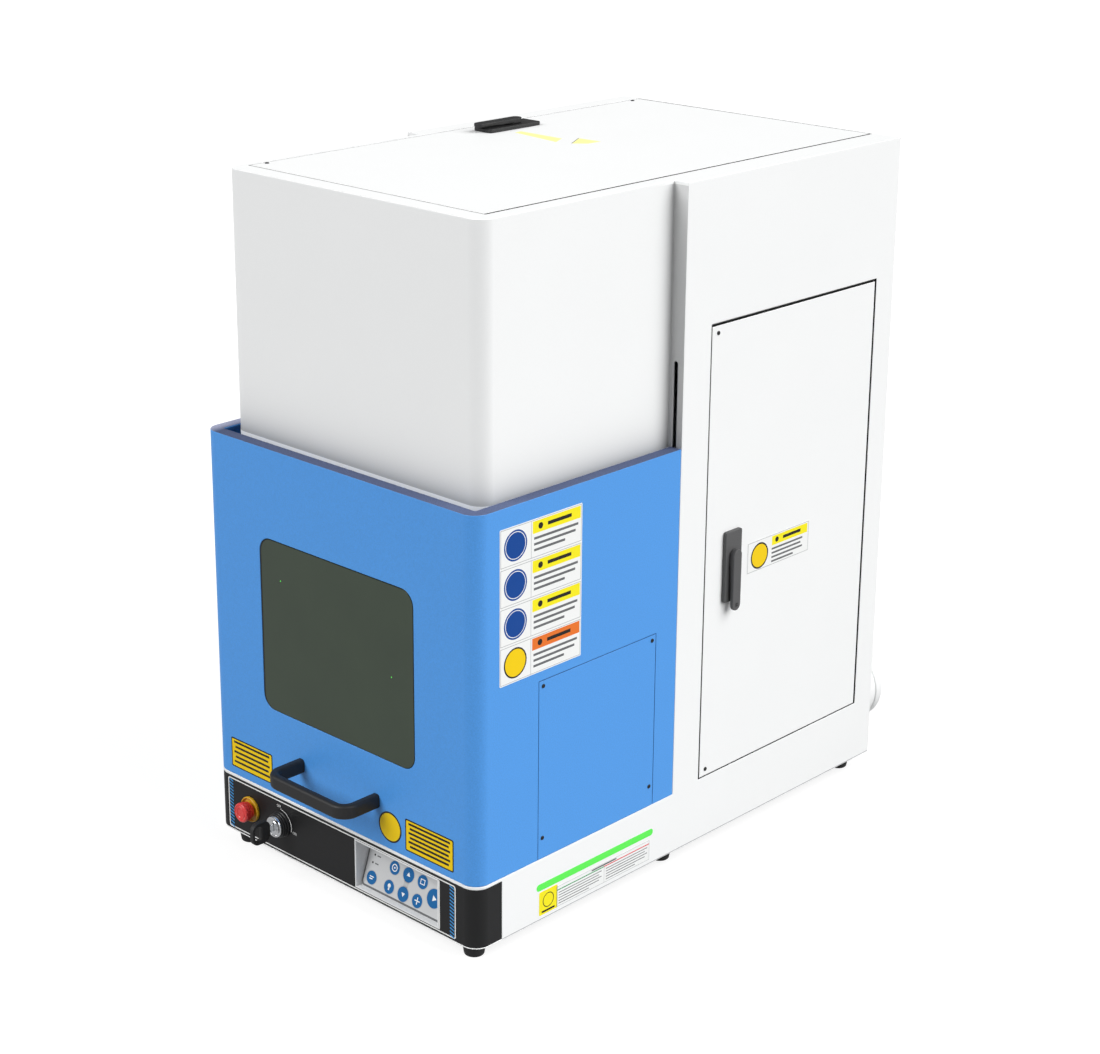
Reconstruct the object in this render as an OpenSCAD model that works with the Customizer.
// Enclosed ultraviolet laser marking machine with a lift-up shroud.
// Millimetres. X runs across the front, Y runs from the front to the back, Z is up.
// The origin is on the floor, below the middle of the cabinet.

/* [Cabinet] */
// Width of the cabinet and of the lift-up shroud
body_w = 420; // [380:5:504]
// Depth of the cabinet, without the handle and the duct spigot
body_d = 682; // [640:2:820]
// Height of the cabinet above its bottom pan
body_h = 761.5; // [720:0.5:920]
// Depth of the low front part, in front of the tower
nose_d = 309; // [280:1:340]
// Height of the base, from the bottom pan to the work deck
base_h = 70.5; // [64:0.5:90]
// Thickness of the sheet steel
sheet_t = 2; // [1.5:0.1:2.2]
// Thickness of the bottom pan
pan_t = 1.5; // [1.5:0.5:6]
// Thickness of the work deck
deck_t = 3.5; // [3:0.5:6]
// Radius of the rounded front corners
corner_r = 18; // [14:1:24]

/* [Feet] */
// Diameter of a rubber foot at the pan
foot_d = 28; // [20:1:34]
// Height of a rubber foot
foot_h = 20; // [14:1:30]
// Distance from a foot's centre to the cabinet's side
foot_inset_x = 27; // [20:1:34]
// Distance from the end feet's centres to the cabinet's front and back
foot_inset_y = 24; // [20:1:34]
// Distance from the middle feet's centres to the tower's front
foot_mid_y = 12; // [0:1:40]

/* [Head] */
// Distance from the cabinet's side to the head's side
head_inset_x = 19; // [18.5:0.5:26]
// Distance from the cabinet's front to the head's front
head_inset_y = 27; // [24:1:40]
// Height of the head's floor above the bottom pan
head_floor_h = 334.5; // [330:0.5:350]
// Width of the rim to the right of the top cover, on its hinge side
cover_rim_right = 18; // [15:0.5:24]
// Width of the rim to the left of the top cover
cover_rim_left = 9; // [8:0.5:20]
// Width of the rim in front of the top cover
cover_rim_front = 24; // [18:0.5:30]
// Width of the rim behind the top cover
cover_rim_back = 4; // [3.5:0.5:8]

/* [Shroud] */
// Height of the lift-up shroud
shroud_h = 404; // [380:1:410]
// Height that the shroud lifts
lift = 250; // [200:5:255]
// Width of the shroud's top flange
shroud_lip = 15; // [12:0.5:16]
// Width of the window
window_w = 241; // [180:1:260]
// Height of the window
window_h = 200; // [150:1:220]
// Height of the window's lower edge above the shroud's lower edge
window_lift = 102; // [95:1:130]
// Radius of the window's corners
window_r = 17; // [8:1:24]
// Length of the pull handle
handle_w = 134; // [120:1:200]
// Distance that the pull handle stands out
handle_out = 51; // [40:1:60]
// Height of the pull handle's bar
handle_bar_h = 16; // [14:1:20]
// Thickness of the pull handle's bar, from front to back
handle_bar_t = 9; // [7:0.5:14]
// Width of the pull handle's posts
handle_post_w = 12; // [10:0.5:18]
// Height of the handle's centre above the shroud's lower edge
handle_lift = 50; // [40:1:60]

/* [Side door] */
// Width of the door
door_w = 291; // [240:1:300]
// Height of the door
door_h = 525; // [420:1:560]
// Distance from the tower's front to the door
door_from_step = 46; // [44:1:60]
// Height of the door's lower edge above the bottom pan
door_lift = 75; // [60:0.5:90]
// Depth of the door's folded edge
door_fold = 15; // [15:0.5:18]

/* [Front panel] */
// Distance of the emergency stop to the left of the centre
estop_x = 151; // [140:1:160]
// Distance of the key switch to the left of the centre
key_x = 98.5; // [80:0.5:102]
// Height of the stop's and the key switch's centres above the bottom pan
control_lift = 36.5; // [30:0.5:40]
// Left edge of the keypad recess, right of the centre
keypad_x = 24; // [10:1:36]
// Width of the keypad recess
keypad_w = 130.5; // [110:0.5:140]

/* [Rear] */
// Outer radius of the exhaust spigot
spigot_r = 47; // [38:1:48]
// Length of the exhaust spigot
spigot_out = 48; // [40:1:60]
// Distance of the exhaust spigot to the right of the centre
spigot_x = 146; // [130:1:148]
// Height of the exhaust spigot above the bottom pan
spigot_lift = 61.5; // [57:0.5:80]

/* [Focus axis] */
// Travel of the laser head
focus_travel = 80; // [40:5:100]
// Distance from the cabinet's front to the lens axis
lens_y = 160; // [140:1:180]

/* [Hidden] */
$fn = 64;
half_w = body_w / 2;
front = -body_d / 2;
back = body_d / 2;
step_y = front + nose_d;
floor_z = foot_h + pan_t;
deck_z = floor_z + base_h;
top_z = floor_z + body_h;
// small gaps: between fixed sheets, around panels, at hinge edges, in running fits
seam = 0.6;
panel_gap = 1.5;
hinge_gap = 3;
running = 0.05;
slack = 0.4;
cut = 1;

head_half = half_w - head_inset_x;
head_front = front + head_inset_y;
head_floor_z = floor_z + head_floor_h;
head_r = corner_r;

shroud_z = deck_z + seam;
shroud_top = shroud_z + shroud_h;
shroud_back = step_y - seam;
shroud_inner = half_w - sheet_t;

window_z = shroud_z + window_lift;
window_flange = 12;
window_t = 3;

fascia_wrap = 38;
fascia_h = base_h - deck_t;
control_z = floor_z + control_lift;

// guide slots in the tower's front and the carriages that pass through them
slot_w = 5.7;
slot_x = half_w - 11;
tongue_t = 4.3;
tongue_h = 25;
tongue_lift = 221;
tongue_z = shroud_z + tongue_lift;
slot_end = 2.5;
rail_w = 12;
rail_d = 10;
rail_x = slot_x - 20;
rail_from = 32;
rail_over = 36;
carriage_h = 40;
carriage_z = tongue_z - (carriage_h - tongue_h) / 2;
carriage_d = 20;
spring_x = rail_x - 26;
spring_y = step_y + sheet_t + 14;
spring_r = 9;
rod_r = 4;

// top cover: a folded tray that turns on studs along its right edge
cover_x0 = cover_rim_left - head_half;
cover_x1 = head_half - cover_rim_right;
cover_y0 = head_front + cover_rim_front;
cover_y1 = back - cover_rim_back;
cover_fold = 14;
pivot_in = 8;
pivot_r = 3;
pivot_len = 12;
cover_pivot = [cover_x1 - hinge_gap - pivot_in, top_z - pivot_in];

// side door: a folded tray that turns on studs along its rear edge
door_y0 = step_y + door_from_step;
door_y1 = door_y0 + door_w;
door_z0 = floor_z + door_lift;
door_z1 = door_z0 + door_h;
door_pivot = [half_w - pivot_in, door_y1 - pivot_in];
block_w = 20;
block_t = 14;

// quarter-turn latches on the door and the cover
latch_l = 83;
latch_w = 28;
latch_t = 4.5;
lever_l = 72;
lever_w = 14;
lever_t = 6;
lever_neck = 4;
lever_root = 16;
lever_gap = 2;
spindle_r = 5;
cam_catch = 10;
latch_from_edge = 33;
cam_w = 16;
cam_t = 3;
door_latch_y = door_y0 + 43;
door_latch_z = door_z0 + 259;
cover_latch_x = cover_x0 + latch_from_edge;
cover_latch_y = front + 424;

// front controls
estop_r = 11.4;
estop_ring_r = 14.9;
estop_ring_t = 3.5;
estop_gap = 2.4;
estop_out = 16;
estop_travel = 3;
estop_hole_r = 8;
estop_seat = 0.3;
estop_barrel = 30;
estop_round = 2;
plunger_in = 24;
plunger_seat = 4;
nut_rim = 3;
nut_t = 4;
plunger_r = 3;
key_hole_r = 11;
key_bezel_r = 15;
key_bezel_out = 8;
key_face_r = 12.3;
key_core_r = 9;
key_face_out = 12;
key_barrel = 40;
key_bow_w = 26;
key_bow_l = 25;
key_bow_t = 6;
key_bow_r = 9;
key_hole = 4;
key_blade_w = 8.4;
key_blade_t = 2.4;
key_blade_in = 11;
key_slot_w = key_blade_w + 0.6;
key_slot_t = key_blade_t + 0.2;
key_neck = 6;
key_core_in = 29;
keypad_wall = 1.5;
keypad_edge = 4.5;
keypad_depth = 30;
tub_lip = 3;
keypad_foot = 7.5;
keypad_top = 26;
overlay_t = 1;

// work table on the deck
table_w = 300;
table_d = 200;
table_t = 12;
table_hole_r = 3.3;
table_pitch_x = 200;
table_pitch_y = 120;

// exhaust blower, cooling fan and power inlet on the back panel
spigot_z = floor_z + spigot_lift;
spigot_wall = 3;
spigot_flange = 10;
blower_d = 45;
blower_half = 44;
wheel_r = 38;
blower_wall = 3;
blower_room = 6;
intake_r = 5;
intake_ring = 26;
vane_count = 18;
vane_l = 14;
vane_t = 2;
shaft_r = 4;
fan_x = -100;
fan_z = floor_z + 520;
fan_half = 60;
fan_d = 25;
fan_bore_r = 55;
fan_corner_r = 6;
fan_hub_r = 18;
fan_arm_t = 3;
fan_arm_w = 4;
blade_count = 7;
blade_pitch = 38;
blade_chord = 18;
blade_t = 2;
inlet_x = -120;
inlet_z = floor_z + 120;
inlet_w = 28;
inlet_h = 60;

// focus axis
column_w = 90;
column_d = 60;
column_y = step_y + 70;
column_h = 660;
column_wall = 8;
column_end = 12;
bearing_half = 16;
bearing_h = 18;
bearing_foot = 4;
screw_in_bearing = 12;
guide_x = 30;
guide_stop = 24;
screw_r = 5;
screw_y = column_y - 12;
carriage_plate_t = 12;
slide_plate_y = column_y - 32;
slide_plate_w = 96;
slide_z = head_floor_z + 98;
slide_h = 130;
shoe_half = 15;
shoe_h = 40;
shoe_end = 4;
nut_half = 12;
nut_h = 30;
source_w = 120;
source_h = 110;
galvo_half = 45;
galvo_h = 96;
scanner_r = 17;
scanner_l = 42;
scanner_h = 30;
scanner_in = 14;
lens_r = 42;
lens_h = 50;
lens_room = 14;
lens_neck = 10;
lens_rim = 5;

// equipment in the tower
plate_x = 70;
plate_y0 = column_y + column_d + 30;
plate_len = 190;
plate_h = 470;
plate_foot = 20;
supply_lift = 20;
supply_from = 30;
supply_l = 115;
supply_h = 215;
supply_w = 50;
vent_count = 10;
vent_pitch = 15;
vent_h = 5;
vent_in = 15;
vent_depth = 2;
board_lift = 280;
board_from = 15;
board_l = 160;
board_h = 170;
board_t = 1.6;
board_stand = 10;
board_post_r = 4;
board_post_in = 10;
board_y0 = plate_y0 + board_from;
board_y1 = board_y0 + board_l;
board_z0 = floor_z + board_lift;
chip_w = 40;
chip_t = 3.4;
plug_w = 12;
plug_h = 50;
plug_in = 5;

white = "whitesmoke";
blue = "cornflowerblue";
black = "dimgray";
steel = "silver";

// ---- shared shapes ----

// Box from one corner to the opposite one
module block(a, b) {
    translate(a) cube(b - a);
}

// Rectangle from [x0, y0] to [x1, y1] with rounded corners
module round_rect(x0, x1, y0, y1, r) {
    translate([x0 + r, y0]) square([x1 - x0 - 2 * r, y1 - y0]);
    translate([x0, y0 + r]) square([x1 - x0, y1 - y0 - 2 * r]);
    for (x = [x0 + r, x1 - r], y = [y0 + r, y1 - r])
        translate([x, y]) circle(r = r);
}

// Plan outline with rounded front corners and a straight back
module nose_plan(half, y0, y1, r) {
    translate([-half, y0 + r]) square([2 * half, y1 - y0 - r]);
    translate([r - half, y0]) square([2 * (half - r), 2 * r]);
    for (s = [-1, 1]) translate([s * (half - r), y0 + r]) circle(r = r);
}

// Bent sheet that follows the plan outline, open at the back
module nose_wall(half, y0, y1, r, t, z0, z1) {
    translate([0, 0, z0]) linear_extrude(z1 - z0) difference() {
        nose_plan(half, y0, y1, r);
        nose_plan(half - t, y0 + t, y1 + cut, r - t);
    }
}

// Outline drawn in X and Z, made solid from y0 to y1
module along_y(y0, y1) {
    translate([0, y1, 0]) rotate([90, 0, 0]) linear_extrude(y1 - y0) children();
}

// Outline drawn in Y and Z, made solid from x0 to x1
module along_x(x0, x1) {
    translate([x0, 0, 0]) rotate([90, 0, 90]) linear_extrude(x1 - x0) children();
}

// Outline drawn in X and Y, made solid from z0 to z1
module along_z(z0, z1) {
    translate([0, 0, z0]) linear_extrude(z1 - z0) children();
}

// Round bar along Y and along X
module bar_y(r, x, z, y0, y1) {
    translate([x, y1, z]) rotate([90, 0, 0]) cylinder(r = r, h = y1 - y0);
}
module bar_x(r, y, z, x0, x1) {
    translate([x0, y, z]) rotate([0, 90, 0]) cylinder(r = r, h = x1 - x0);
}
module bar_z(r, x, y, z0, z1) {
    translate([x, y, z0]) cylinder(r = r, h = z1 - z0);
}

// Both sides of the machine
module both_sides() {
    for (s = [0, 1]) mirror([s, 0, 0]) children();
}

// Low domed screw head on a short shank, pointing along +Z; the head's seat is at z = 0
module pan_screw(head_r, head_h, shank_r, shank_l) {
    cylinder(r = head_r, h = head_h);
    translate([0, 0, -shank_l]) cylinder(r = shank_r, h = shank_l + head_h / 2);
}

// ---- cabinet ----

module base_pan() {
    color(white) difference() {
        along_z(foot_h, floor_z) nose_plan(half_w, front, back, corner_r);
        for (p = foot_places) bar_z(foot_stud_r, p[0], p[1], foot_h - cut, floor_z + cut);
    }
}

foot_stud_r = 3;
foot_taper = 3;
foot_step = 0.5;
foot_rim = 4;
foot_y = [front + foot_inset_y, step_y + foot_mid_y, back - foot_inset_y];
foot_places = [for (y = foot_y, s = [-1, 1]) [s * (half_w - foot_inset_x), y]];

module rubber_feet() {
    color(black) for (p = foot_places) translate([p[0], p[1], 0]) {
        cylinder(r1 = foot_d / 2 - foot_taper, r2 = foot_d / 2 - foot_step, h = foot_h - foot_rim);
        translate([0, 0, foot_h - foot_rim]) cylinder(r = foot_d / 2, h = foot_rim);
        cylinder(r = foot_stud_r - running, h = floor_z - foot_step);
    }
}

module base_deck() {
    color(white) along_z(deck_z - deck_t, deck_z) difference() {
        union() {
            nose_plan(half_w, front, step_y, corner_r);
            translate([sheet_t - half_w, step_y - cut]) square([2 * (half_w - sheet_t), sheet_t + cut]);
        }
        for (p = table_holes) translate(p) circle(r = table_hole_r);
    }
}

table_mid = front + lens_y;
table_holes = [for (x = [-1, 1], y = [-1, 1])
    [x * table_pitch_x / 2, table_mid + y * table_pitch_y / 2]];

module work_table() {
    color(steel) along_z(deck_z, deck_z + table_t) difference() {
        round_rect(-table_w / 2, table_w / 2, table_mid - table_d / 2, table_mid + table_d / 2, 6);
        for (p = table_holes) translate(p) circle(r = table_hole_r);
    }
}

// L-shaped side sheet: low beside the deck, full height beside the tower
module side_outline() {
    translate([front + fascia_wrap, floor_z])
        square([body_d - fascia_wrap, base_h - deck_t]);
    translate([step_y, floor_z]) square([body_d - nose_d, body_h - sheet_t]);
}

module side_panel_right() {
    color(white) difference() {
        along_x(half_w - sheet_t, half_w) side_outline();
        along_x(half_w - sheet_t - cut, half_w + cut)
            translate([door_y0 - panel_gap, door_z0 - panel_gap])
            square([door_w + panel_gap + hinge_gap, door_h + panel_gap + hinge_gap]);
    }
}

module side_panel_left() {
    color(white) along_x(-half_w, sheet_t - half_w) side_outline();
}

opening_margin = 30;
opening_r = 10;
louvre_count = 6;
louvre_pitch = 12;
louvre_h = 6;
louvre_lift = 22;
louvre_left = 50;
louvre_right = 20;
slot_z0 = tongue_z - slot_end;
slot_z1 = tongue_z + tongue_h + lift + slot_end;

// Wall across the tower's front, with the guide slots, the head's opening and the fume intake
module tower_bulkhead() {
    inner = half_w - sheet_t;
    opening = head_half - opening_margin;
    y0 = step_y - cut;
    y1 = step_y + sheet_t + cut;
    color(white) difference() {
        block([-inner, step_y, deck_z], [inner, step_y + sheet_t, top_z - sheet_t]);
        both_sides() along_y(y0, y1)
            round_rect(slot_x - slot_w / 2, slot_x + slot_w / 2, slot_z0, slot_z1, slot_w / 2 - 0.01);
        along_y(y0, y1) round_rect(-opening, opening,
            head_floor_z + opening_r, top_z - opening_margin, opening_r);
        block([cover_x0 - cut, y0, top_z - cover_fold - pivot_in], [cover_x1 + cut, y1, top_z]);
        for (i = [0:louvre_count - 1]) along_y(y0, y1) translate([0, deck_z + louvre_lift + louvre_pitch * i])
            round_rect(spigot_x - louvre_left, spigot_x + louvre_right, 0, louvre_h, louvre_h / 2 - 0.1);
    }
}

// Rear wall, open for the spigot, the cooling fan and the power inlet
module back_panel() {
    inner = half_w - sheet_t;
    color(white) difference() {
        block([-inner, back - sheet_t, floor_z], [inner, back, top_z - sheet_t]);
        bar_y(spigot_r - spigot_wall, spigot_x, spigot_z, back - sheet_t - cut, back + cut);
        bar_y(fan_bore_r, fan_x, fan_z, back - sheet_t - cut, back + cut);
        block([inlet_x - inlet_w / 2, back - sheet_t - cut, inlet_z - inlet_h / 2],
            [inlet_x + inlet_w / 2, back + cut, inlet_z + inlet_h / 2]);
        for (p = back_screws)
            bar_y(back_screw_r, p[0], p[1], back - sheet_t - cut, back + cut);
    }
}

back_screw_r = 2;
back_screw_in = 14;
back_screws = [for (x = [-1, 0, 1], z = [floor_z + back_screw_in, top_z - sheet_t - back_screw_in])
    [x * (half_w - back_screw_in), z]];

module back_panel_screws() {
    color(steel) for (p = back_screws) translate([p[0], back, p[1]]) rotate([-90, 0, 0])
        pan_screw(2 * back_screw_r, back_screw_r, back_screw_r - running, 3 * back_screw_r);
}

module head_housing() {
    color(white) nose_wall(head_half, head_front, step_y, head_r, sheet_t,
        head_floor_z, top_z - sheet_t);
}

module head_floor() {
    color(white) along_z(head_floor_z, head_floor_z + sheet_t) difference() {
        nose_plan(head_half - sheet_t, head_front + sheet_t, step_y, head_r - sheet_t);
        translate([0, front + lens_y]) circle(r = lens_r + lens_room);
    }
}

// Top sheet round the cover: narrow over the head, full width over the tower
module top_frame() {
    color(white) along_z(top_z - sheet_t, top_z) difference() {
        union() {
            nose_plan(head_half, head_front, step_y + cut, head_r);
            translate([-half_w, step_y]) square([body_w, body_d - nose_d]);
        }
        translate([cover_x0, cover_y0]) square([cover_x1 - cover_x0, cover_y1 - cover_y0]);
    }
}

// ---- front panel ----

keypad_z0 = floor_z + keypad_edge;
keypad_z1 = floor_z + fascia_h - keypad_edge;

// Black sheet that wraps the base's front corners
module front_fascia() {
    color(black) difference() {
        nose_wall(half_w, front, front + fascia_wrap, corner_r, sheet_t,
            floor_z, floor_z + fascia_h);
        bar_y(estop_hole_r, -estop_x, control_z, front - cut, front + sheet_t + cut);
        bar_y(key_hole_r, -key_x, control_z, front - cut, front + sheet_t + cut);
        block([keypad_x, front - cut, keypad_z0],
            [keypad_x + keypad_w, front + sheet_t + cut, keypad_z1]);
    }
}

// Tub with a sloping back that carries the keypad overlay
module keypad_housing() {
    x0 = keypad_x + slack / 2;
    x1 = keypad_x + keypad_w - slack / 2;
    z0 = keypad_z0 + slack / 2;
    z1 = keypad_z1 - slack / 2;
    color(steel) difference() {
        union() {
            block([x0, front, z0], [x1, front + keypad_depth, z1]);
            block([x0 - tub_lip, front + sheet_t, z0 - tub_lip],
                [x1 + tub_lip, front + 2 * sheet_t, z1 + tub_lip]);
        }
        along_x(x0 + keypad_wall, x1 - keypad_wall) polygon([
            [front - cut, z0 + keypad_wall], [front + keypad_foot, z0 + keypad_wall],
            [front + keypad_top, z1 - keypad_wall], [front - cut, z1 - keypad_wall]]);
    }
}

// Film with the printed keys, on the tub's sloping face
module keypad_overlay() {
    x0 = keypad_x + slack / 2 + keypad_wall + slack;
    x1 = keypad_x + keypad_w - slack / 2 - keypad_wall - slack;
    z0 = keypad_z0 + slack / 2 + keypad_wall;
    z1 = keypad_z1 - slack / 2 - keypad_wall;
    color(steel) along_x(x0, x1) polygon([
        [front + keypad_foot, z0], [front + keypad_top, z1],
        [front + keypad_top - overlay_t, z1], [front + keypad_foot - overlay_t, z0]]);
}

// Yellow collar on the fascia, with its barrel through the sheet
module estop_base() {
    color("gold") difference() {
        union() {
            bar_y(estop_ring_r, -estop_x, control_z, front - estop_ring_t, front);
            bar_y(estop_hole_r - running, -estop_x, control_z, front - estop_seat, front + estop_barrel);
            bar_y(estop_hole_r + nut_rim, -estop_x, control_z, front + sheet_t, front + sheet_t + nut_t);
        }
        bar_y(estop_r + estop_gap, -estop_x, control_z, front - estop_ring_t - cut, front - estop_seat);
        bar_y(plunger_r + running, -estop_x, control_z, front - cut, front + estop_barrel + cut);
    }
}

module estop_plunger() {
    color(steel) bar_y(plunger_r, -estop_x, control_z, front - estop_out + plunger_seat, front + plunger_in);
}

module estop_cap() {
    y0 = front - estop_out;
    y1 = front - estop_travel - slack - estop_seat;
    color("crimson") difference() {
        translate([-estop_x, y1, control_z]) rotate([90, 0, 0]) rotate_extrude()
            difference() {
                square([estop_r, y1 - y0]);
                difference() {
                    translate([estop_r - estop_round, y1 - y0 - estop_round])
                        square([estop_round + cut, estop_round + cut]);
                    translate([estop_r - estop_round, y1 - y0 - estop_round]) circle(r = estop_round);
                }
            }
        bar_y(plunger_r + running, -estop_x, control_z, y0 + plunger_seat, y1 + cut);
    }
}

module key_switch_body() {
    color(black) difference() {
        union() {
            bar_y(key_bezel_r, -key_x, control_z, front - key_bezel_out, front);
            bar_y(key_hole_r - running, -key_x, control_z, front - estop_seat, front + key_barrel);
            bar_y(key_hole_r + nut_rim, -key_x, control_z, front + sheet_t, front + sheet_t + nut_t);
        }
        bar_y(key_core_r + running, -key_x, control_z,
            front - key_bezel_out - cut, front + key_core_in + cut);
    }
}

// Silver barrel that the key turns, with the key slot
module key_rotor() {
    color(steel) difference() {
        union() {
            bar_y(key_core_r, -key_x, control_z, front - key_bezel_out - cut, front + key_core_in);
            bar_y(key_face_r, -key_x, control_z, front - key_face_out,
                front - key_bezel_out - slack);
        }
        translate([-key_x, 0, control_z])
            block([-key_slot_t / 2, front - key_face_out - cut, -key_slot_w / 2],
                [key_slot_t / 2, front + key_blade_in + cut, key_slot_w / 2]);
    }
}

// Flat key with a moulded bow
module switch_key() {
    y1 = front - key_face_out - key_neck;
    color(black) translate([-key_x, 0, control_z]) {
        block([-key_blade_t / 2, y1 - cut, -key_blade_w / 2],
            [key_blade_t / 2, front + key_blade_in, key_blade_w / 2]);
        difference() {
            along_x(-key_bow_t / 2, key_bow_t / 2)
                round_rect(y1 - key_bow_l, y1, -key_bow_w / 2, key_bow_w / 2, key_bow_r);
            bar_x(key_hole, y1 - key_bow_l + 2 * key_hole, 0, -key_bow_t, key_bow_t);
        }
    }
}

// ---- lift-up shroud ----

access_from_front = 92;
access_w = 182;
access_h = 203;
access_strip = 20;
access_overlap = 8;
access_y0 = front + access_from_front;
access_y1 = access_y0 + access_w;
access_screw_in = 6;
access_screw_low = 24;
access_screws = [for (y = [access_y0 + access_screw_in, access_y1 - access_screw_in],
    z = [shroud_z + access_screw_low, shroud_z + access_h - access_screw_in]) [y, z]];
access_screw_r = 2;
handle_posts = [-(handle_w - handle_post_w) / 2, (handle_w - handle_post_w) / 2];
handle_r = 20;
handle_inner_r = 9;
handle_bore_l = 22;
handle_z = shroud_z + handle_lift;
handle_screw_r = 2.5;

module window_outline(grow) {
    round_rect(-window_w / 2 - grow, window_w / 2 + grow,
        window_z - grow, window_z + window_h + grow, window_r + grow);
}

module lift_shroud() {
    color(blue) difference() {
        union() {
            nose_wall(half_w, front, shroud_back, corner_r, sheet_t, shroud_z, shroud_top);
            nose_wall(half_w - sheet_t / 2, front + sheet_t / 2, shroud_back,
                corner_r - sheet_t / 2, shroud_lip - sheet_t / 2, shroud_top - sheet_t, shroud_top);
            both_sides() block([half_w - shroud_lip, shroud_back - sheet_t, shroud_z],
                [shroud_inner + sheet_t / 2, shroud_back, shroud_top]);
            // welded strips behind the access panel's edges
            for (y = [access_y0, access_y1 + 2 * access_overlap - access_strip])
                block([shroud_inner - sheet_t, y - access_overlap, shroud_z],
                    [shroud_inner, y - access_overlap + access_strip, shroud_z + access_h + access_overlap]);
            block([shroud_inner - sheet_t, access_y0, shroud_z + access_h + access_overlap - access_strip],
                [shroud_inner, access_y1, shroud_z + access_h + access_overlap]);
        }
        along_y(front - cut, front + sheet_t + cut) window_outline(seam / 2);
        block([shroud_inner, access_y0 - seam, shroud_z - cut],
            [half_w + cut, access_y1 + seam, shroud_z + access_h + seam]);
        for (p = access_screws)
            bar_x(access_screw_r, p[0], p[1], shroud_inner - sheet_t - cut, half_w + cut);
        for (x = handle_posts)
            bar_y(handle_screw_r, x, handle_z, front - cut, front + sheet_t + cut);
        for (p = clip_places)
            bar_y(clip_stud_r, p[0], p[1], front + sheet_t / 2, front + sheet_t + cut);
    }
}

// Tinted acrylic with a raised middle that fills the shroud's opening
module window_pane() {
    color("darkolivegreen") {
        along_y(front, front + sheet_t + window_t / 2) window_outline(-seam / 2);
        along_y(front + sheet_t, front + sheet_t + window_t) window_outline(window_flange - 2);
    }
}

clip_stud_r = 1.5;
clip_out = 16;
clip_w = 10;
clip_t = 2;
clip_tail = 4;
clip_short = 6;
clip_places = [for (x = [-1, 0, 1], z = [0, 1])
    [x * window_w / 3, z == 0 ? window_z - clip_out : window_z + window_h + clip_out]];

// Turn-clips on studs that press the pane against the shroud from inside
module window_clips() {
    y0 = front + sheet_t;
    color(steel) for (p = clip_places) {
        inward = p[1] > window_z ? -1 : 1;
        tail = p[1] - inward * clip_tail;
        tip = p[1] + inward * (clip_out - clip_short);
        bar_y(clip_stud_r - running, p[0], p[1], y0 - sheet_t / 2 + running, y0 + window_t + 2 * clip_t);
        bar_y(2 * clip_stud_r, p[0], p[1], y0, y0 + window_t);
        block([p[0] - clip_w / 2, y0 + window_t, min(tail, tip)],
            [p[0] + clip_w / 2, y0 + window_t + clip_t, max(tail, tip)]);
    }
}

// Black bow handle: two posts and a bar with rounded corners
module pull_handle() {
    h = handle_bar_h;
    post = handle_post_w;
    color(black) difference() {
        along_z(handle_z - h / 2, handle_z + h / 2) difference() {
            union() {
                round_rect(-handle_w / 2, handle_w / 2, front - handle_out, front - cut, handle_r);
                for (x = handle_posts) translate([x - post / 2, front - handle_out / 2])
                    square([post, handle_out / 2]);
            }
            round_rect(post - handle_w / 2, handle_w / 2 - post,
                front - handle_out + handle_bar_t, front + handle_r, handle_inner_r);
        }
        for (x = handle_posts) bar_y(handle_screw_r, x, handle_z, front - handle_bore_l, front + cut);
    }
}

module handle_screws() {
    color(steel) for (x = handle_posts)
        translate([x, front + sheet_t, handle_z]) rotate([-90, 0, 0])
            pan_screw(2 * handle_screw_r, 3, handle_screw_r - running, handle_bore_l - 2 * handle_screw_r);
}

module access_panel() {
    color(blue) difference() {
        block([shroud_inner, access_y0, shroud_z], [half_w, access_y1, shroud_z + access_h]);
        for (p = access_screws) bar_x(access_screw_r, p[0], p[1], shroud_inner - cut, half_w + cut);
    }
}

module access_panel_screws() {
    color(black) for (p = access_screws)
        translate([half_w, p[0], p[1]]) rotate([0, 90, 0])
            pan_screw(3, 1, access_screw_r - running, 7);
}

// Sliding block behind each guide slot, with a tongue out to the shroud
module lift_carriages() {
    y0 = step_y + sheet_t + slack;
    x0 = spring_x - 12;
    color(steel) both_sides() difference() {
        union() {
            block([x0, y0, carriage_z], [slot_x + tongue_t / 2, y0 + carriage_d, carriage_z + carriage_h]);
            block([slot_x - tongue_t / 2, shroud_back, tongue_z],
                [slot_x + tongue_t / 2, y0 + cut, tongue_z + tongue_h]);
        }
        block([rail_x - rail_w / 2 - slack, y0 - cut, carriage_z - cut],
            [rail_x + rail_w / 2 + slack, step_y + sheet_t + rail_d + slack, carriage_z + carriage_h + cut]);
        bar_z(rod_r + 1, spring_x, spring_y, carriage_z - cut, carriage_z + 10);
    }
}

module lift_rails() {
    color(steel) both_sides() block([rail_x - rail_w / 2, step_y + sheet_t, tongue_z - rail_from],
        [rail_x + rail_w / 2, step_y + sheet_t + rail_d, tongue_z + carriage_h + lift + rail_over]);
}

spring_top = carriage_z - 8;

module gas_spring_cylinders() {
    color(black) both_sides() difference() {
        bar_z(spring_r, spring_x, spring_y, floor_z, spring_top);
        bar_z(rod_r + running, spring_x, spring_y, floor_z + 6, spring_top + cut);
    }
}

module gas_spring_rods() {
    color(steel) both_sides() {
        bar_z(rod_r, spring_x, spring_y, floor_z + 8, carriage_z + 10);
    }
}

// ---- side door ----

module door_tray() {
    difference() {
        block([half_w - door_fold, door_y0, door_z0], [half_w, door_y1, door_z1]);
        block([half_w - door_fold - cut, door_y0 + sheet_t, door_z0 + sheet_t],
            [half_w - sheet_t, door_y1 - sheet_t, door_z1 - sheet_t]);
    }
}

door_screw_y = door_y0 + 10;
door_screws_z = [door_z0 + 8, door_z1 - 8];

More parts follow.
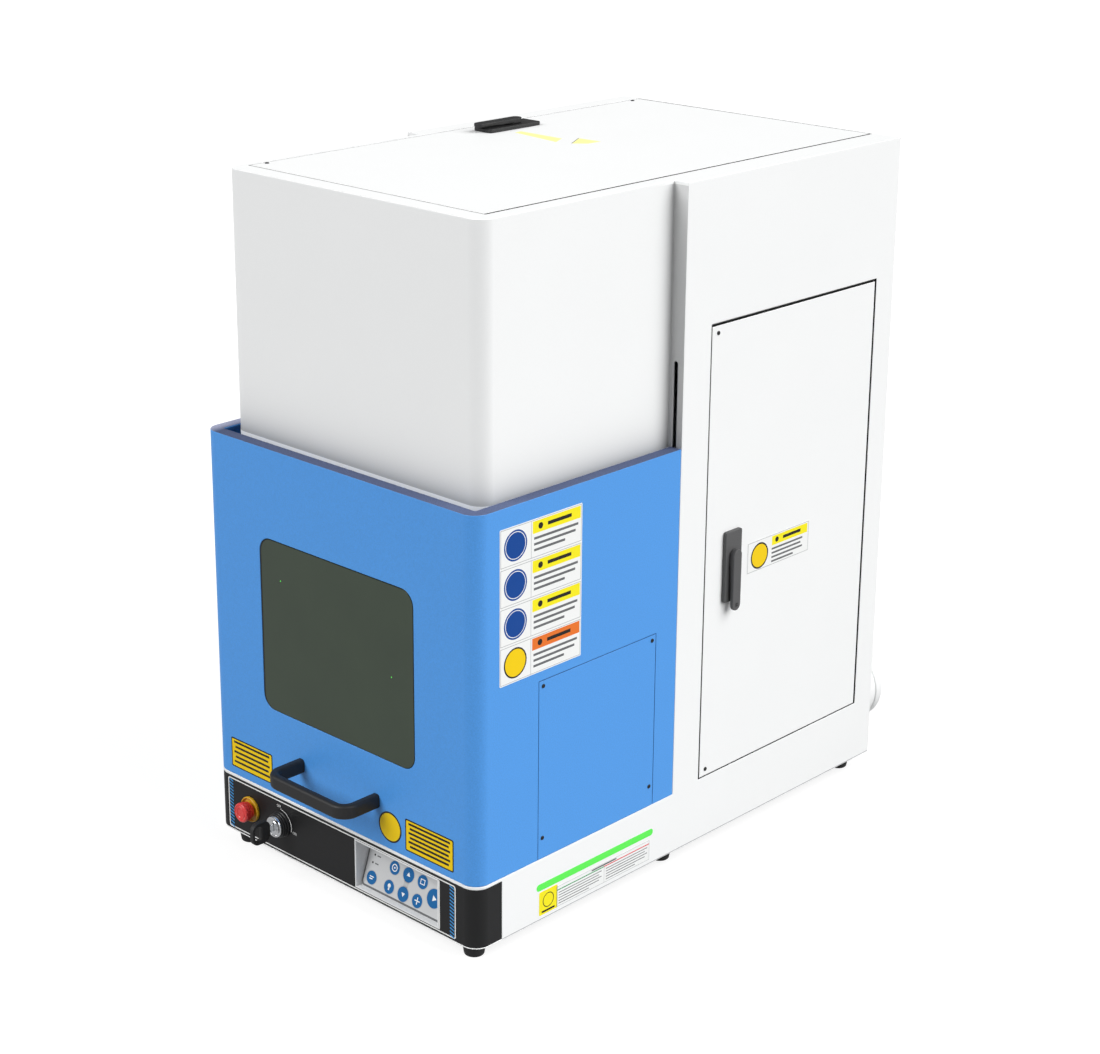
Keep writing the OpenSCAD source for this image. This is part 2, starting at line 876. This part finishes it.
module side_door() {
    color(white) difference() {
        door_tray();
        bar_z(pivot_r + running, door_pivot[0], door_pivot[1], door_z0 - cut, door_z1 + cut);
        bar_x(spindle_r + running, door_latch_y, door_latch_z, half_w - sheet_t - cut, half_w + cut);
        for (z = door_screws_z) bar_x(2, door_screw_y, z, half_w - sheet_t - cut, half_w + cut);
    }
}

// Studs above and below the door, on blocks behind the side panel
module door_pivots() {
    x1 = half_w - sheet_t;
    y = door_pivot[1];
    top = door_z1 + hinge_gap;
    low = door_z0 - panel_gap;
    color(steel) {
        block([x1 - block_t, y - block_w / 2, top], [x1, y + block_w / 2, top + block_t]);
        bar_z(pivot_r, door_pivot[0], y, door_z1 - pivot_len, top + cut);
        block([x1 - block_t, y - block_w / 2, low - block_t], [x1, y + block_w / 2, low]);
        bar_z(pivot_r, door_pivot[0], y, low - cut, door_z0 + pivot_len);
    }
}

module door_screws() {
    color(black) for (z = door_screws_z)
        translate([half_w, door_screw_y, z]) rotate([0, 90, 0]) pan_screw(3.5, 1, 2 - running, 8);
}

// Escutcheon of a quarter-turn latch, face along +Z, spindle hole at the origin
module latch_plate() {
    difference() {
        linear_extrude(latch_t) round_rect(-latch_w / 2, latch_w / 2,
            latch_w - latch_l, latch_w, 3);
        translate([0, 0, -cut]) cylinder(r = spindle_r + running, h = latch_t + 2 * cut);
    }
}

// Lever, spindle and cam of a quarter-turn latch, drawn released
module latch_lever(behind, cam_l) {
    z0 = latch_t + slack;
    along_z(z0, z0 + lever_neck)
        round_rect(-lever_w / 2, lever_w / 2, -lever_root, lever_w / 2, lever_w / 2 - 0.01);
    along_z(z0 + lever_gap, z0 + lever_t)
        round_rect(-lever_w / 2, lever_w / 2, lever_w / 2 - lever_l, lever_w / 2, lever_w / 2 - 0.01);
    translate([0, 0, -behind - cam_t]) cylinder(r = spindle_r, h = behind + cam_t + z0 + 1);
    along_z(-behind - cam_t, -behind)
        round_rect(-cam_w / 2, cam_w / 2, -cam_l, cam_w / 2, cam_w / 2 - 0.01);
}

// Turns a latch to face +X with its lever hanging down
module on_door() {
    translate([half_w, door_latch_y, door_latch_z]) rotate([90, 0, 90]) children();
}

// Turns a latch to face +Z with its lever pointing forward
module on_cover() {
    translate([cover_latch_x, cover_latch_y, top_z]) children();
}

module door_latch_plate() {
    color(black) on_door() latch_plate();
}

module door_latch_lever() {
    color(black) on_door() latch_lever(door_fold + 2,
        door_latch_y - door_y0 + panel_gap + cam_catch);
}

// ---- top cover ----

cover_latch_side = cover_x0 + panel_gap;
cover_hinge_side = cover_x1 - hinge_gap;
cover_screw_x = cover_latch_side + 5;
cover_screws_y = [cover_y0 + 21, cover_y1 - 19];

module top_cover() {
    y0 = cover_y0 + panel_gap;
    y1 = cover_y1 - panel_gap;
    color(white) difference() {
        block([cover_latch_side, y0, top_z - cover_fold], [cover_hinge_side, y1, top_z]);
        block([cover_latch_side + sheet_t, y0 + sheet_t, top_z - cover_fold - cut],
            [cover_hinge_side - sheet_t, y1 - sheet_t, top_z - sheet_t]);
        bar_y(pivot_r + running, cover_pivot[0], cover_pivot[1], y0 - cut, y1 + cut);
        bar_z(spindle_r + running, cover_latch_x, cover_latch_y, top_z - sheet_t - cut, top_z + cut);
        for (y = cover_screws_y)
            bar_z(2, cover_screw_x, y, top_z - sheet_t - cut, top_z + cut);
    }
}

// Studs in front of and behind the cover: one on a block below the rim, one on the rear wall
module cover_pivots() {
    y0 = cover_y0;
    z1 = top_z - sheet_t;
    color(steel) {
        block([cover_pivot[0] - pivot_in, y0 - block_t, z1 - block_t], [cover_pivot[0] + pivot_in, y0, z1]);
        bar_y(pivot_r, cover_pivot[0], cover_pivot[1], y0 - cut, y0 + panel_gap + pivot_len);
        bar_y(pivot_r, cover_pivot[0], cover_pivot[1], cover_y1 - panel_gap - pivot_len, back - sheet_t);
    }
}

module cover_screws() {
    color(black) for (y = cover_screws_y) translate([cover_screw_x, y, top_z])
        pan_screw(2.8, 0.8, 2 - running, 8);
}

module cover_latch_plate() {
    color(black) on_cover() latch_plate();
}

module cover_latch_lever() {
    color(black) on_cover() latch_lever(cover_fold + 2,
        latch_from_edge + panel_gap + cam_catch);
}

// ---- focus axis ----

// Column cast with a bearing block for the lower end of the screw
module z_column() {
    color(steel) difference() {
        union() {
            block([-column_w / 2, column_y, floor_z],
                [column_w / 2, column_y + column_d, floor_z + column_h]);
            block([-bearing_half, screw_y - screw_in_bearing, guide_z0 - bearing_foot],
                [bearing_half, column_y + cut, guide_z0 + bearing_h]);
        }
        block([column_wall - column_w / 2, column_y + column_wall, floor_z + column_end],
            [column_w / 2 - column_wall, column_y + column_d + cut, floor_z + column_h - column_end]);
        bar_z(screw_r + running, 0, screw_y, guide_z0, guide_z0 + bearing_h + cut);
    }
}

guide_z0 = slide_z - focus_travel - guide_stop;
guide_z1 = floor_z + column_h - column_end;

module z_rails() {
    color(steel) both_sides() block([guide_x - rail_w / 2, column_y - rail_d, guide_z0],
        [guide_x + rail_w / 2, column_y, guide_z1]);
}

motor_half = 28;
motor_h = 62;
motor_flange = 6;
motor_seat = 20;
motor_bore = 30;

module z_motor() {
    z0 = floor_z + column_h;
    color(black) difference() {
        union() {
            block([-motor_half, screw_y - motor_half, z0],
                [motor_half, column_y + motor_seat, z0 + motor_flange]);
            block([-motor_half, screw_y - motor_half, z0], [motor_half, screw_y + motor_half, z0 + motor_h]);
        }
        bar_z(screw_r + running, 0, screw_y, z0 - cut, z0 + motor_bore);
    }
}

module z_screw() {
    color(steel) bar_z(screw_r, 0, screw_y, guide_z0 + cut, floor_z + column_h + motor_bore - 2 * cut);
}

// Plate that slides on the rails, with its four blocks and the nut
module z_carriage() {
    y0 = slide_plate_y;
    y1 = y0 + carriage_plate_t;
    rail_face = column_y - rail_d;
    color(steel) difference() {
        union() {
            block([-slide_plate_w / 2, y0, slide_z], [slide_plate_w / 2, y1, slide_z + slide_h]);
            both_sides() for (z = [slide_z + shoe_end, slide_z + slide_h - shoe_end - shoe_h])
                block([guide_x - shoe_half, y1 - cut, z], [guide_x + shoe_half, column_y - cut, z + shoe_h]);
            block([-nut_half, y1 - cut, slide_z + (slide_h - nut_h) / 2],
                [nut_half, column_y - 2 * cut, slide_z + (slide_h + nut_h) / 2]);
        }
        both_sides() block([guide_x - rail_w / 2 - slack, rail_face - slack, slide_z - cut],
            [guide_x + rail_w / 2 + slack, column_y, slide_z + slide_h + cut]);
        bar_z(screw_r + running, 0, screw_y, slide_z - cut, slide_z + slide_h + cut);
    }
}

source_lift = 12;
source_z = slide_z + source_lift;
fin_count = 7;
fin_pitch = 13;
fin_slot = 6;
fin_in = 14;
galvo_lift = 4;
galvo_y0 = front + lens_y - galvo_half;
galvo_y1 = front + lens_y + galvo_half;

module laser_source() {
    color(black) difference() {
        block([-source_w / 2, galvo_y1, source_z], [source_w / 2, slide_plate_y, source_z + source_h]);
        for (i = [0:fin_count - 1], s = [-1, 1]) {
            z0 = source_z + source_lift + fin_pitch * i;
            block([s * source_w / 2 - fin_slot, galvo_y1 + fin_in, z0],
                [s * source_w / 2 + fin_slot, slide_plate_y - fin_in, z0 + fin_slot]);
        }
    }
}

module galvo_head() {
    z0 = source_z + galvo_lift;
    mid = z0 + galvo_h / 2;
    color(black) {
        block([-galvo_half, galvo_y0, z0], [galvo_half, galvo_y1, z0 + galvo_h]);
        bar_x(scanner_r, front + lens_y, mid, galvo_half - cut, galvo_half + scanner_l);
        bar_z(scanner_r, -scanner_in, front + lens_y, z0 + galvo_h - cut, z0 + galvo_h + scanner_h);
    }
}

module field_lens() {
    z1 = source_z + galvo_lift;
    color(black) translate([0, front + lens_y, 0]) rotate_extrude() polygon([
        [0, z1], [lens_r - lens_neck, z1], [lens_r - lens_neck, z1 - lens_neck],
        [lens_r, z1 - lens_neck - lens_rim], [lens_r, z1 - lens_h], [lens_r - lens_rim, z1 - lens_h],
        [lens_r - lens_rim, z1 - lens_h + lens_rim], [0, z1 - lens_h + lens_rim]]);
}

// ---- equipment in the tower ----

module equipment_plate() {
    color(steel) {
        block([plate_x - sheet_t, plate_y0, floor_z], [plate_x, plate_y0 + plate_len, floor_z + plate_h]);
        block([plate_x - plate_foot, plate_y0, floor_z], [plate_x, plate_y0 + plate_len, floor_z + sheet_t]);
        for (y = [board_y0 + board_post_in, board_y1 - board_post_in],
            z = [board_z0 + board_post_in, board_z0 + board_h - 2 * board_post_in])
            bar_x(board_post_r, y, z, plate_x - sheet_t, plate_x + board_stand);
    }
}

module power_supply() {
    y0 = plate_y0 + supply_from;
    y1 = y0 + supply_l;
    z0 = floor_z + supply_lift;
    color(steel) difference() {
        block([plate_x, y0, z0], [plate_x + supply_w, y1, z0 + supply_h]);
        for (i = [0:vent_count - 1]) translate([0, 0, z0 + 2 * vent_in + vent_pitch * i])
            block([plate_x + supply_w - vent_depth, y0 + vent_in, 0],
                [plate_x + supply_w + cut, y1 - vent_in, vent_h]);
    }
}

module control_board() {
    x0 = plate_x + board_stand;
    x1 = x0 + board_t;
    chip = [(board_y0 + board_y1 - chip_w) / 2, board_z0 + (board_h - chip_w) / 2];
    color("seagreen") {
        block([x0, board_y0, board_z0], [x1, board_y1, board_z0 + board_h]);
        block([x1, chip[0], chip[1]], [x1 + chip_t, chip[0] + chip_w, chip[1] + chip_w]);
        for (z = [board_z0 + 4 * plug_in, board_z0 + board_h - 2 * plug_in - plug_h])
            block([x1, board_y0 + plug_in, z], [x1 + plug_w, board_y0 + plug_in + plug_w, z + plug_h]);
    }
}

// ---- rear ----

module exhaust_blower() {
    y1 = back - sheet_t;
    y0 = y1 - blower_d;
    c = [spigot_x, spigot_z];
    color(black) difference() {
        block([c[0] - blower_half, y0, c[1] - blower_half], [c[0] + blower_half, y1, c[1] + blower_half]);
        bar_y(wheel_r + blower_wall, c[0], c[1], y0 + blower_wall, y1 + cut);
        for (a = [0:30:330])
            bar_y(intake_r, c[0] + intake_ring * cos(a), c[1] + intake_ring * sin(a),
                y0 - cut, y0 + blower_wall + cut);
        bar_y(shaft_r + running, c[0], c[1], y0 - cut, y0 + blower_wall + cut);
    }
}

module blower_wheel() {
    y1 = back - sheet_t - blower_room;
    y0 = back - sheet_t - blower_d + blower_room;
    color(steel) translate([spigot_x, 0, spigot_z]) {
        bar_y(shaft_r, 0, 0, y0 - blower_room + cut, y1 - shaft_r);
        bar_y(wheel_r, 0, 0, y0, y0 + vane_t);
        for (i = [0:vane_count - 1]) rotate([0, i * 360 / vane_count, 0])
            block([wheel_r - vane_l, y0 + vane_t / 2, -vane_t / 2], [wheel_r - cut, y1, vane_t / 2]);
    }
}

module duct_spigot() {
    color(white) translate([spigot_x, back, spigot_z]) rotate([-90, 0, 0]) rotate_extrude()
        polygon([[spigot_r - spigot_wall, 0], [spigot_r + spigot_flange, 0],
            [spigot_r + spigot_flange, spigot_wall], [spigot_r, spigot_wall],
            [spigot_r, spigot_out], [spigot_r - spigot_wall, spigot_out]]);
}

module cooling_fan_frame() {
    y1 = back - sheet_t;
    y0 = y1 - fan_d;
    color(black) {
        difference() {
            along_y(y0, y1) round_rect(fan_x - fan_half, fan_x + fan_half,
                fan_z - fan_half, fan_z + fan_half, fan_corner_r);
            bar_y(fan_bore_r + 2, fan_x, fan_z, y0 - cut, y1 + cut);
        }
        difference() {
            union() {
                bar_y(fan_hub_r, fan_x, fan_z, y0, y0 + fan_arm_t);
                for (a = [45:90:315]) translate([fan_x, 0, fan_z]) rotate([0, a, 0])
                    block([fan_hub_r - fan_arm_t, y0, -fan_arm_w / 2],
                        [fan_bore_r + fan_arm_w, y0 + fan_arm_t, fan_arm_w / 2]);
            }
            bar_y(shaft_r + running, fan_x, fan_z, y0 - cut, y0 + fan_arm_t + cut);
        }
    }
}

module fan_blades() {
    y0 = back - sheet_t - fan_d + fan_arm_t + cut;
    y1 = back - sheet_t - fan_arm_t;
    color(black) translate([fan_x, 0, fan_z]) {
        bar_y(fan_hub_r + cut, 0, 0, y0, y1);
        bar_y(shaft_r, 0, 0, y0 - fan_arm_t - cut / 2, y0 + cut);
        for (i = [0:blade_count - 1]) translate([0, (y0 + y1) / 2, 0])
            rotate([0, i * 360 / blade_count, 0]) rotate([blade_pitch, 0, 0])
            block([fan_hub_r - cut, -blade_t / 2, -blade_chord / 2],
                [fan_bore_r - fan_arm_t, blade_t / 2, blade_chord / 2]);
    }
}

rocker_w = 14;
rocker_h = 20;
rocker_d = 12;
rocker_t = 5;
rocker_room = 1.5;
rocker_lift = 15;
rocker_z = inlet_z + rocker_lift;
inlet_d = 30;
inlet_t = 3;
inlet_edge = 4;
socket_w = 22;
socket_h = 18;
socket_d = 16;
socket_z = inlet_z - 25;

module power_inlet() {
    y1 = back;
    w = inlet_w - slack;
    h = inlet_h - slack;
    color(black) difference() {
        union() {
            block([inlet_x - w / 2, y1 - inlet_d, inlet_z - h / 2],
                [inlet_x + w / 2, y1 + cut, inlet_z + h / 2]);
            block([inlet_x - w / 2 - inlet_edge, y1, inlet_z - h / 2 - inlet_edge],
                [inlet_x + w / 2 + inlet_edge, y1 + inlet_t, inlet_z + h / 2 + inlet_edge]);
        }
        block([inlet_x - socket_w / 2, y1 - socket_d, socket_z],
            [inlet_x + socket_w / 2, y1 + inlet_t + cut, socket_z + socket_h]);
        block([inlet_x - rocker_w / 2 - slack, y1 - rocker_d, rocker_z - rocker_h / 2 - slack],
            [inlet_x + rocker_w / 2 + slack, y1 + inlet_t + cut, rocker_z + rocker_h / 2 + slack]);
    }
}

// Rocker on a cross pin, level at rest
module inlet_rocker() {
    w = rocker_w / 2;
    h = rocker_h / 2 - rocker_room;
    color(black) along_x(inlet_x - w, inlet_x + w) polygon([
        [back - rocker_t, rocker_z - h], [back + inlet_t, rocker_z - h],
        [back + inlet_t - cut, rocker_z], [back + inlet_t, rocker_z + h], [back - rocker_t, rocker_z + h]]);
}

base_pan();
base_deck();
side_panel_right();
side_panel_left();
tower_bulkhead();
back_panel();
back_panel_screws();
head_housing();
head_floor();
top_frame();
front_fascia();
rubber_feet();
work_table();
keypad_housing();
keypad_overlay();
estop_base();
estop_plunger();
estop_cap();
key_switch_body();
key_rotor();
switch_key();
lift_shroud();
window_pane();
window_clips();
pull_handle();
handle_screws();
access_panel();
access_panel_screws();
lift_carriages();
lift_rails();
gas_spring_cylinders();
gas_spring_rods();
side_door();
door_pivots();
door_screws();
door_latch_plate();
door_latch_lever();
top_cover();
cover_pivots();
cover_screws();
cover_latch_plate();
cover_latch_lever();
z_column();
z_rails();
z_screw();
z_motor();
z_carriage();
laser_source();
galvo_head();
field_lens();
equipment_plate();
power_supply();
control_board();
exhaust_blower();
blower_wheel();
duct_spigot();
cooling_fan_frame();
fan_blades();
power_inlet();
inlet_rocker();
